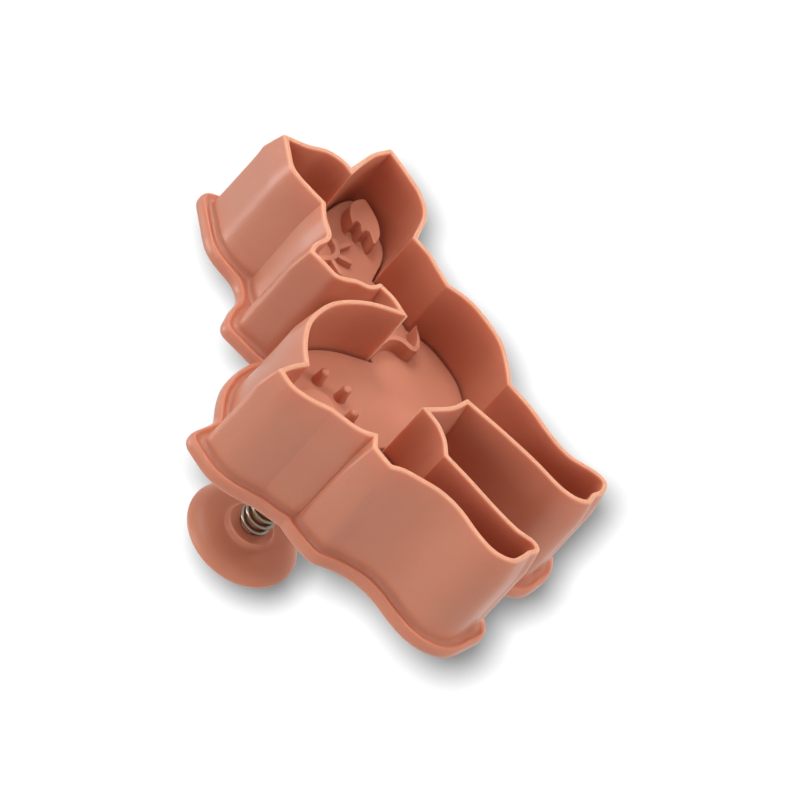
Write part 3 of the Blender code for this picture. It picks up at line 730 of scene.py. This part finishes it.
rise = add_node(spring_tree, "ShaderNodeMath", {"operation": "ADD"},
                {0: lower_rise.outputs[0], 1: last_rise})
lift = add_node(spring_tree, "ShaderNodeCombineXYZ", links={"Z": rise.outputs[0]})
offset = add_node(spring_tree, "ShaderNodeVectorMath", {"operation": "ADD"},
                  {0: lift.outputs[0], 1: spring_in.outputs["Bottom"]})
lifted = add_node(spring_tree, "GeometryNodeSetPosition", links={
    "Geometry": coil.outputs[0], "Offset": offset.outputs[0],
})
wire_section = add_node(spring_tree, "GeometryNodeCurvePrimitiveCircle", {"Resolution": 14},
                        {"Radius": spring_in.outputs["Wire Radius"]})
wire = add_node(spring_tree, "GeometryNodeCurveToMesh", {"Fill Caps": True}, {
    "Curve": lifted.outputs[0], "Profile Curve": wire_section.outputs[0],
})
real_wire = add_node(spring_tree, "GeometryNodeRealizeInstances", links={"Geometry": wire.outputs[0]})
painted_wire = add_node(spring_tree, "GeometryNodeSetMaterial", links={
    "Geometry": real_wire.outputs[0], "Material": spring_in.outputs["Material"],
})
spring_tree.links.new(painted_wire.outputs[0], spring_out.inputs["Geometry"])

# Cold-drawn spring steel is bright, and here it has dulled a little in fine patches
spring_steel = bpy.data.materials.new("drawn_spring_steel")
spring_steel.use_nodes = True
steel_tree = spring_steel.node_tree
steel_shader = steel_tree.nodes["Principled BSDF"]
steel_place = add_node(steel_tree, "ShaderNodeTexCoord").outputs["Object"]
dull_patches = add_node(steel_tree, "ShaderNodeTexNoise",
                        {"Scale": 1 / (DULL_PATCH_SIZE * MM), "Detail": 3.0}, {"Vector": steel_place})
steel_tint = add_node(steel_tree, "ShaderNodeMix",
                      {"data_type": "RGBA", 6: linear("#9A8F80"), 7: linear("#6C6256")},
                      {0: dull_patches.outputs[0]})
steel_tree.links.new(steel_tint.outputs[2], steel_shader.inputs["Base Color"])
steel_gloss = add_node(steel_tree, "ShaderNodeMapRange", {"To Min": 0.16, "To Max": 0.3},
                       {"Value": dull_patches.outputs[0]})
steel_tree.links.new(steel_gloss.outputs[0], steel_shader.inputs["Roughness"])
steel_shader.inputs["Metallic"].default_value = 1.0

spring_length = SPRING_TOP - SPRING_BOTTOM
spring_mesh = tree_result("spring", spring_tree, {
    "Turns": SPRING_TURNS, "Coil Radius": SPRING_RADIUS * MM, "Wire Radius": WIRE_RADIUS * MM,
    "Length": (spring_length - 2 * WIRE_RADIUS) * MM, "Closed Share": CLOSED_TURNS / SPRING_TURNS,
    "Closed Length": CLOSED_TURNS * CLOSED_PITCH * MM,
    "Bottom": (axis.x * MM, axis.y * MM, (SPRING_BOTTOM + WIRE_RADIUS) * MM),
    "Material": spring_steel,
}, bpy.data.meshes.new("no_points"))
spring = riding_piece("wound_return_spring", spring_mesh, "cutter")
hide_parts("return_spring")
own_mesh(spring)

# The knob is a round moulding in the same polypropylene, a shallow mushroom that a finger presses.
# Its underside is nearly flat, with a low boss in the middle that the end of the spring bears on.
KNOB_RADIUS = 10.25
KNOB_SOCKET = 54.8
BOSS_EDGE = 50.45
UNDERSIDE = 51.4
KNOB_RIM = 53.5
KNOB_DOME_HEIGHT = 3.0
DOME_STEPS = 24
# The profile runs from the socket over the boss and the underside to the rim, and then up the dome
knob_profile = [
    (0, KNOB_SOCKET), (STEM_HOLE_RADIUS, KNOB_SOCKET), (STEM_HOLE_RADIUS, SPRING_TOP),
    (3.2, SPRING_TOP), (3.6, SPRING_TOP + 0.02), (3.8, SPRING_TOP), (3.93, SPRING_TOP - 0.02),
    (4.05, SPRING_TOP + 0.02), (4.15, BOSS_EDGE - 0.1), (4.22, BOSS_EDGE + 0.05), (4.25, BOSS_EDGE + 0.3),
    (4.3, UNDERSIDE - 0.35), (4.42, UNDERSIDE - 0.14), (4.65, UNDERSIDE - 0.02), (5.1, UNDERSIDE + 0.02),
    (6.4, 51.45), (7.5, 51.53), (8.2, 51.7), (8.8, 51.98),
    (9.3, 52.32), (9.7, 52.68), (9.98, 53.02), (10.17, 53.3),
]
for step in range(DOME_STEPS):
    turn = math.pi / 2 * step / DOME_STEPS
    knob_profile.append((KNOB_RADIUS * math.cos(turn), KNOB_RIM + KNOB_DOME_HEIGHT * math.sin(turn)))
knob_profile.append((0, KNOB_RIM + KNOB_DOME_HEIGHT))
# The knob is thick, so it hardly glows, and it has the stamp's finish
knob_plastic = moulded_polypropylene("satin_polypropylene_knob", SALMON, SALMON_FLOW, roughness=0.42,
                                     glow=0.25)
knob = finished("mushroom_knob", turned_mesh(knob_profile, axis, 96), knob_plastic, "plunger")
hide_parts("knob")

# The camera looks into the mouth as in the photograph. The part stands on its cutting edge, so that is
# from below floor level. The floor shows only from above, and a sheet behind the part takes the shadow.
AIM = Vector((4.71, 14.16, 0.0)) * MM
CAMERA_PLACE = Vector((4.71, 468.47, -423.6)) * MM
CAMERA_RIGHT = Vector((0.7381, -0.4601, -0.4935))
CAMERA_UP = Vector((-0.6747, -0.5034, -0.5398))
camera_data = bpy.data.cameras.new("photo_camera")
camera_data.lens = 180.0
camera_data.sensor_width = 36.0
camera_data.clip_start = 0.01
camera_data.clip_end = 20.0
camera = in_scene("photo_camera", camera_data)
backwards = CAMERA_RIGHT.cross(CAMERA_UP)
camera.matrix_world = Matrix((
    (CAMERA_RIGHT.x, CAMERA_UP.x, backwards.x, CAMERA_PLACE.x),
    (CAMERA_RIGHT.y, CAMERA_UP.y, backwards.y, CAMERA_PLACE.y),
    (CAMERA_RIGHT.z, CAMERA_UP.z, backwards.z, CAMERA_PLACE.z),
    (0, 0, 0, 1),
))
bpy.context.scene.camera = camera
bpy.context.scene.view_settings.view_transform = "Standard"

# The floor and the sheet are in metres. Their own light and their lamps' together make them just white.
FLOOR_HALF = 3.0
FLOOR_GLOW = 0.42
SHEET_HALF = 0.16
SHEET_BEHIND = 0.25
SHEET_GLOW = 0.18
BACKDROP_GREY = 0.5


def backdrop(name, corners, glow):
    """A sheet that only the camera sees, and only from its front, white where no shadow falls."""
    mesh = bpy.data.meshes.new(name)
    mesh.from_pydata(corners, [], [(0, 1, 2, 3)])
    sheet = in_scene(name, mesh)
    material = bpy.data.materials.new(name)
    material.use_nodes = True
    tree = material.node_tree
    tree.nodes.clear()
    diffuse = add_node(tree, "ShaderNodeBsdfDiffuse",
                       {"Color": (BACKDROP_GREY, BACKDROP_GREY, BACKDROP_GREY, 1)})
    own_light = add_node(tree, "ShaderNodeEmission", {"Color": (1, 1, 1, 1), "Strength": glow})
    lit = add_node(tree, "ShaderNodeAddShader", links={0: diffuse.outputs[0], 1: own_light.outputs[0]})
    clear = add_node(tree, "ShaderNodeBsdfTransparent")
    back = add_node(tree, "ShaderNodeNewGeometry").outputs["Backfacing"]
    one_sided = add_node(tree, "ShaderNodeMixShader",
                         links={0: back, 1: lit.outputs[0], 2: clear.outputs[0]})
    add_node(tree, "ShaderNodeOutputMaterial", links={"Surface": one_sided.outputs[0]})
    mesh.materials.append(material)
    sheet.visible_diffuse = False
    sheet.visible_glossy = False
    sheet.visible_transmission = False
    sheet.visible_shadow = False
    return sheet


floor = backdrop("pale_floor", [
    (-FLOOR_HALF, -FLOOR_HALF, 0), (FLOOR_HALF, -FLOOR_HALF, 0),
    (FLOOR_HALF, FLOOR_HALF, 0), (-FLOOR_HALF, FLOOR_HALF, 0),
], FLOOR_GLOW)
sheet_middle = AIM - backwards.normalized() * SHEET_BEHIND
sheet_right = CAMERA_RIGHT * SHEET_HALF
sheet_up = CAMERA_UP * SHEET_HALF
photo_sheet = backdrop("photo_backdrop", [
    sheet_middle - sheet_right - sheet_up, sheet_middle + sheet_right - sheet_up,
    sheet_middle + sheet_right + sheet_up, sheet_middle - sheet_right + sheet_up,
], SHEET_GLOW)

# The lamps are round soft boxes. Most stand on the photograph's side of the part, round its mouth, and
# one hangs above for the other views. The floor and the sheet have a lamp of their own each, and no
# other lamp lights them, so each shows one soft shadow. Distances and sizes are in metres.
LAMP_DISTANCE = 0.7
LAMP_SIZE = 0.35
ROOM_LIGHT = 0.13


def light_group(name, members, state="INCLUDE"):
    """Objects that a lamp lights alone, or leaves out."""
    group = bpy.data.collections.new(name)
    for member in members:
        group.objects.link(member)
    for member in group.collection_objects:
        member.light_linking.link_state = state
    return group


def lamp(name, direction, power, receivers, mirrored=True, distance=LAMP_DISTANCE, size=LAMP_SIZE):
    """A round soft box that shines at the part from a direction, and may show in its gloss."""
    data = bpy.data.lights.new(name, "AREA")
    data.shape = "DISK"
    data.size = size
    data.energy = power
    light = in_scene(name, data)
    middle = (Vector(cad_low) + Vector(cad_high)) / 2
    light.location = middle + Vector(direction).normalized() * distance
    light.rotation_euler = Vector(direction).to_track_quat("Z", "Y").to_euler()
    light.light_linking.receiver_collection = receivers
    light.visible_glossy = mirrored
    return light


def from_camera(right, up, back):
    """A direction given as the camera sees it."""
    return CAMERA_RIGHT * right + CAMERA_UP * up + backwards * back


part_alone = light_group("all_but_the_sheets", (floor, photo_sheet), "EXCLUDE")
floor_alone = light_group("floor_alone", (floor,))
sheet_alone = light_group("sheet_alone", (photo_sheet,))
lamp("left_key", from_camera(-0.7, 0.3, 0.6), 1.35, part_alone)
lamp("front_left", from_camera(-0.38, 0.3, 0.87), 0.3, part_alone, mirrored=False)
lamp("left_edge", from_camera(-0.911, 0.171, -0.068), 1.8, part_alone, distance=0.8, size=0.3)
lamp("low_left", from_camera(-0.4, -0.8, 0.5), 1.25, part_alone, mirrored=False)
lamp("low", from_camera(0.2, -0.8, 0.6), 0.95, part_alone, mirrored=False)
lamp("top", from_camera(0.1, 0.9, 0.4), 2.1, part_alone)
lamp("right", from_camera(0.9, 0.0, 0.3), 1.8, part_alone, mirrored=False)
lamp("behind_right", from_camera(0.62, 0.6, -0.62), 2.6, part_alone, mirrored=False)
lamp("mouth", from_camera(0.49, 0.54, 0.68), 1.6, part_alone)
lamp("above", Vector((0.2, -0.3, 1.0)), 3.0, part_alone, mirrored=False, distance=0.9, size=0.6)
# The sheet's lamp is small and a little left of and above the lens, as a flash is, so the shadow is close by
sheet_lamp = lamp("sheet_lamp", backwards, 12.6, sheet_alone, size=0.026)
sheet_lamp.location = CAMERA_PLACE + (CAMERA_RIGHT * -5.2 + CAMERA_UP * 10.8) * MM
lamp("floor_lamp", Vector((-0.3, 0.2, 1.0)), 345.0, floor_alone, distance=5.0, size=1.0)

# The room gives the part a weak even light, and looks white to the camera and in the part's gloss
world = bpy.data.worlds.new("studio")
bpy.context.scene.world = world
world.use_nodes = True
world_tree = world.node_tree
world_tree.nodes.clear()
ambient = add_node(world_tree, "ShaderNodeBackground", {"Color": (1, 1, 1, 1), "Strength": ROOM_LIGHT})
white = add_node(world_tree, "ShaderNodeBackground", {"Color": (1, 1, 1, 1), "Strength": 1.0})
ray = add_node(world_tree, "ShaderNodeLightPath")
seen = ray.outputs["Is Camera Ray"]
for kind in ("Is Glossy Ray", "Is Transmission Ray"):
    either = add_node(world_tree, "ShaderNodeMath", {"operation": "MAXIMUM"},
                      {0: seen, 1: ray.outputs[kind]})
    seen = either.outputs[0]
sky = add_node(world_tree, "ShaderNodeMixShader",
               links={0: seen, 1: ambient.outputs[0], 2: white.outputs[0]})
add_node(world_tree, "ShaderNodeOutputWorld", links={"Surface": sky.outputs[0]})
